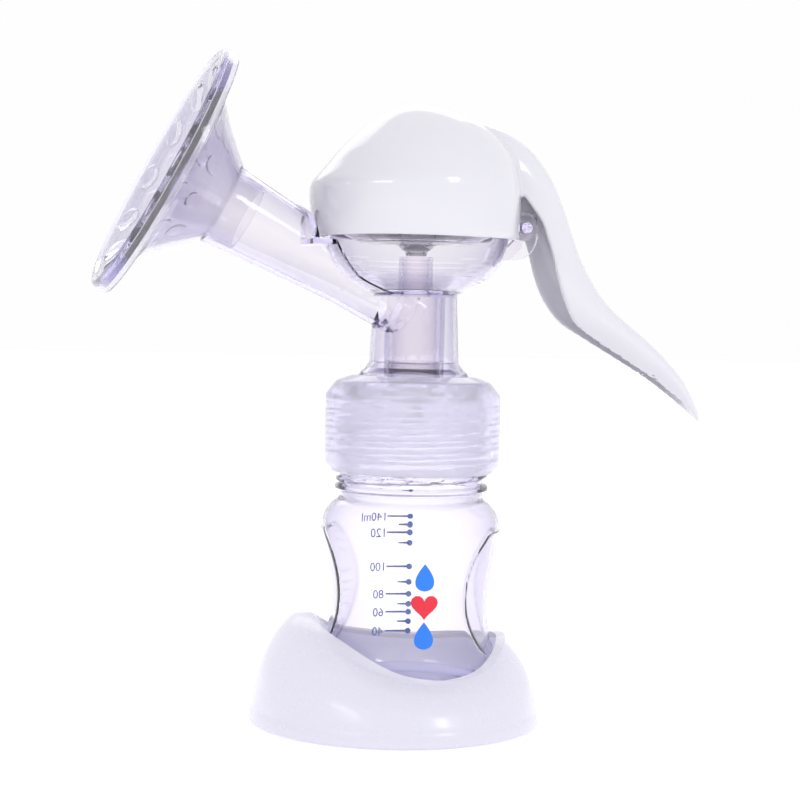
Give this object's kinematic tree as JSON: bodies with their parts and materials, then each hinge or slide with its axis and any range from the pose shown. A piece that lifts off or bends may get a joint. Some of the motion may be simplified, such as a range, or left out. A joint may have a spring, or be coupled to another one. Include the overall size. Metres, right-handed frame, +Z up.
{
  "type": "manual breast pump",
  "caption": "Hand-squeezed breast pump: tilted funnel with silicone massage liner, hooded lever and diaphragm, screwed on a waisted bottle in a domed stand.",
  "frame": {"origin": "centre of the stand's flat underside, on the axis of the bottle", "axes": "+Z up along the bottle's axis; the funnel points to -X, the lever to +X; +Y completes the right-handed frame"},
  "size_m": [0.2187, 0.1016, 0.2285],
  "materials": {
    "white_plastic": "glossy",
    "clear_plastic": "glossy, transparent",
    "milky_plastic": "satin, translucent",
    "clear_silicone": "satin, translucent"
  },
  "bodies": {
    "stand": {"stand": "milky_plastic"},
    "bottle": {"bottle": "clear_plastic"},
    "pump": {"pump_body": "clear_plastic", "seal_ring": "clear_silicone", "duckbill_valve": "clear_silicone", "diaphragm": "clear_silicone", "hinge_pin": "clear_plastic"},
    "collar": {"collar": "milky_plastic"},
    "handle": {"handle": "white_plastic"},
    "stem": {"diaphragm_stem": "white_plastic"},
    "cushion": {"massage_cushion": "clear_silicone"}
  },
  "joints": [
    {"name": "bottle_lift", "type": "slide", "parent": "stand", "child": "bottle", "axis": [0, 0, 1], "range_m": [0, 0.04]},
    {"name": "pump_lift", "type": "slide", "parent": "bottle", "child": "pump", "axis": [0, 0, 1], "range_m": [0, 0.0127]},
    {"name": "collar_turn", "type": "hinge", "parent": "pump", "child": "collar", "pos_m": [0, 0, 0.1], "axis": [0, 0, 1], "range_deg": [0, 1080]},
    {"name": "handle_squeeze", "type": "hinge", "parent": "pump", "child": "handle", "pos_m": [0.037, 0, 0.172], "axis": [0, 1, 0], "range_deg": [0, 20], "stiffness_Nm_per_rad": 1.5, "springref_deg": -2.86, "deforming": ["diaphragm"]},
    {"name": "stem_swing", "type": "hinge", "parent": "handle", "child": "stem", "pos_m": [0, 0, 0.172], "axis": [0, 1, 0], "range_deg": [-20.01, 0]},
    {"name": "cushion_pull", "type": "slide", "parent": "pump", "child": "cushion", "axis": [-0.887, 0, 0.4617], "range_m": [0, 0.04]}
  ],
  "couplings": [
    {"joint": "pump_lift", "follows": "collar_turn", "m_per_rad": 0.00066845},
    {"joint": "stem_swing", "follows": "handle_squeeze", "ratio": -1}
  ]
}
